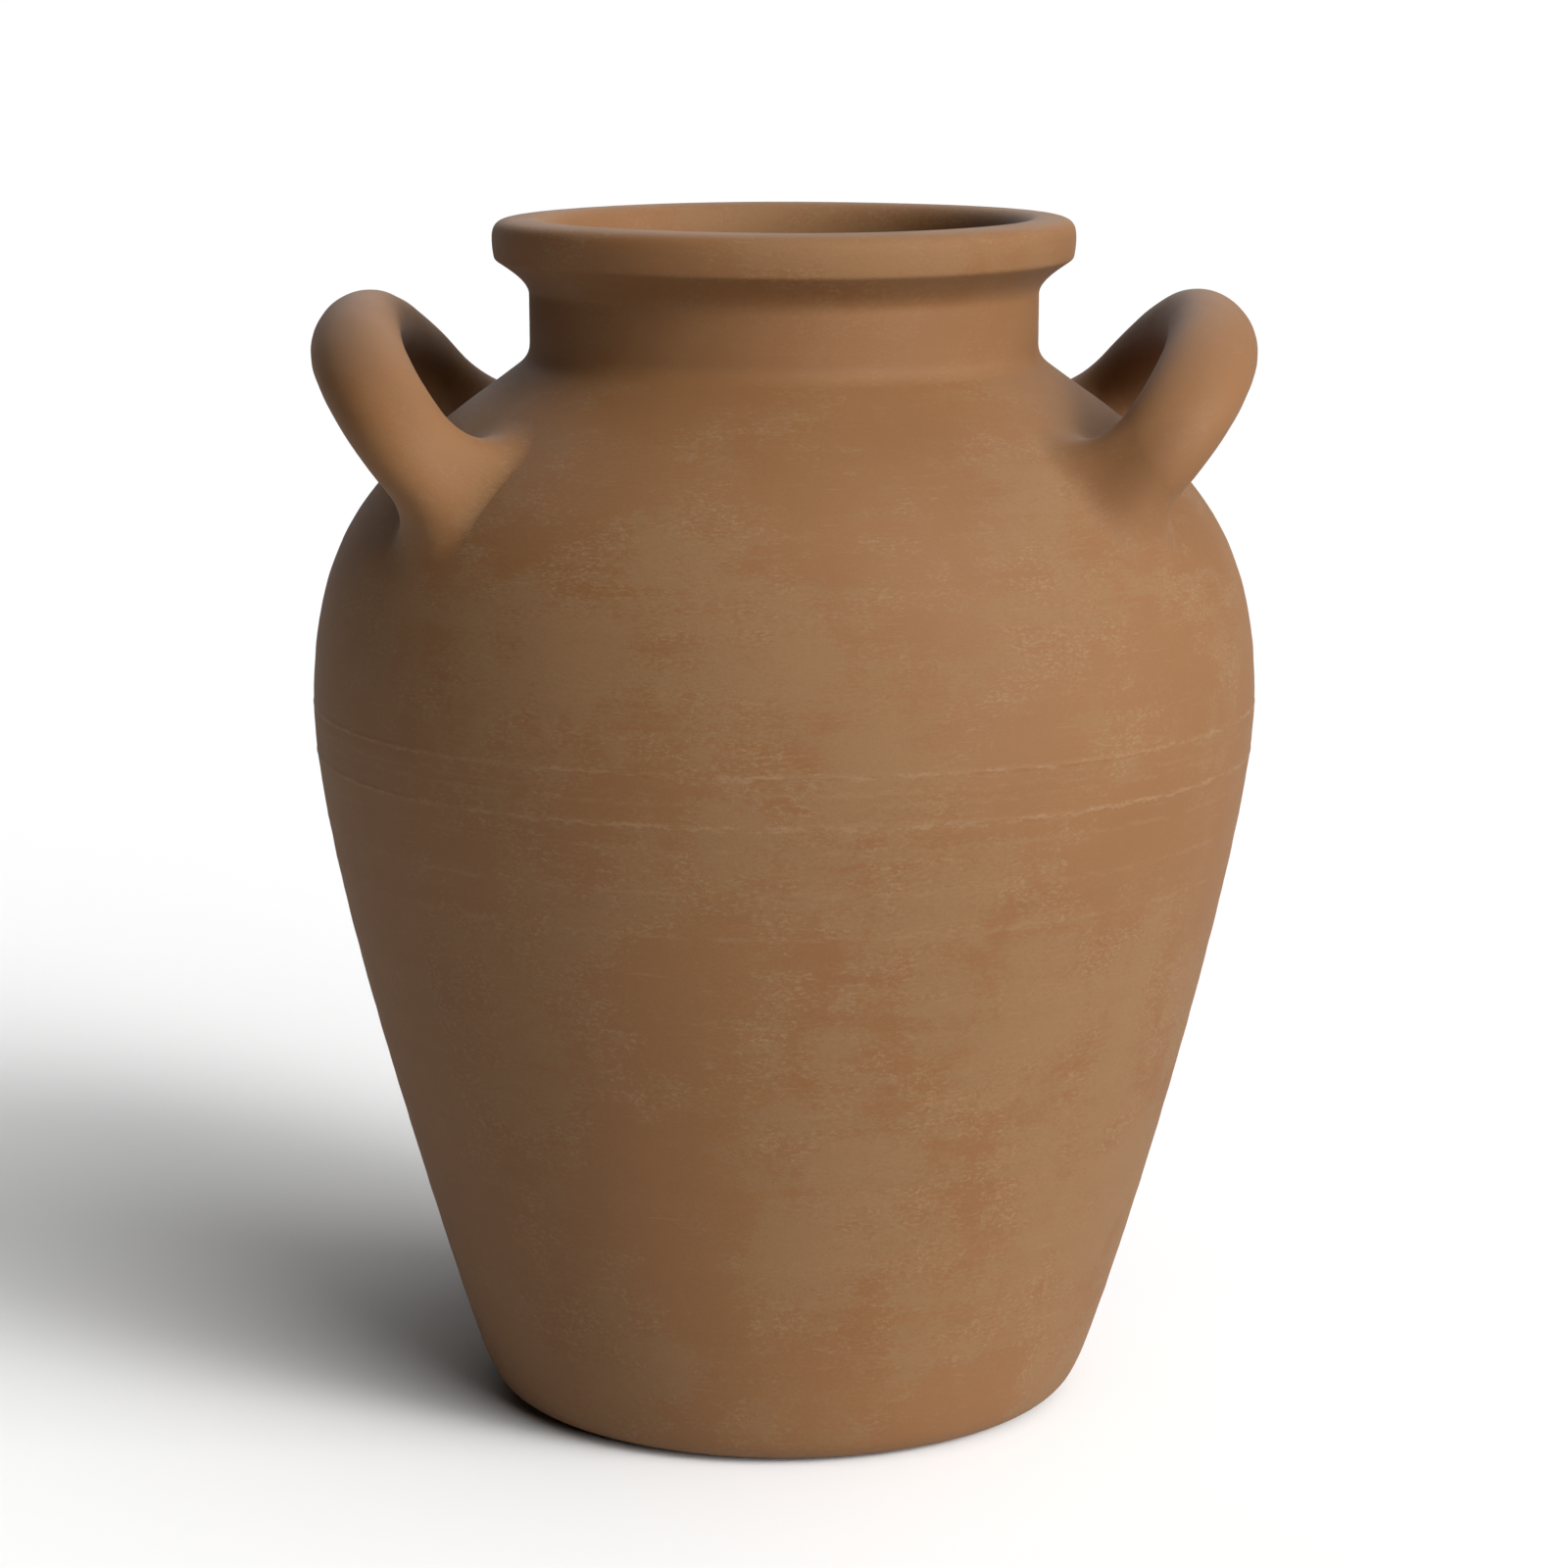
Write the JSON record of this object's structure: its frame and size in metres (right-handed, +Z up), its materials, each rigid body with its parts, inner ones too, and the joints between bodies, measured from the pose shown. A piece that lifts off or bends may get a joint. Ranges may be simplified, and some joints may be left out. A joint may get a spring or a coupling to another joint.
{
  "type": "two-handled terracotta jar",
  "caption": "Wide-mouthed terracotta jar with a swelling shoulder, flat foot, rolled rim, short neck and thick loop handles on the shoulder.",
  "frame": {"origin": "centre of the foot, on the surface that the jar stands on", "axes": "+Z up along the jar's axis; the handles lie at +X (right) and -X (left)"},
  "size_m": [0.3562, 0.3562, 0.45],
  "materials": {
    "terracotta": "matt, unglazed"
  },
  "bodies": {
    "root": {"base_disc": "terracotta", "lower_wall": "terracotta", "joining_band": "terracotta", "upper_wall": "terracotta", "neck_collar": "terracotta", "rim_ring": "terracotta", "handle_left": "terracotta", "handle_left_front_luting": "terracotta", "handle_left_back_luting": "terracotta", "handle_right": "terracotta", "handle_right_front_luting": "terracotta", "handle_right_back_luting": "terracotta"}
  },
  "joints": []
}
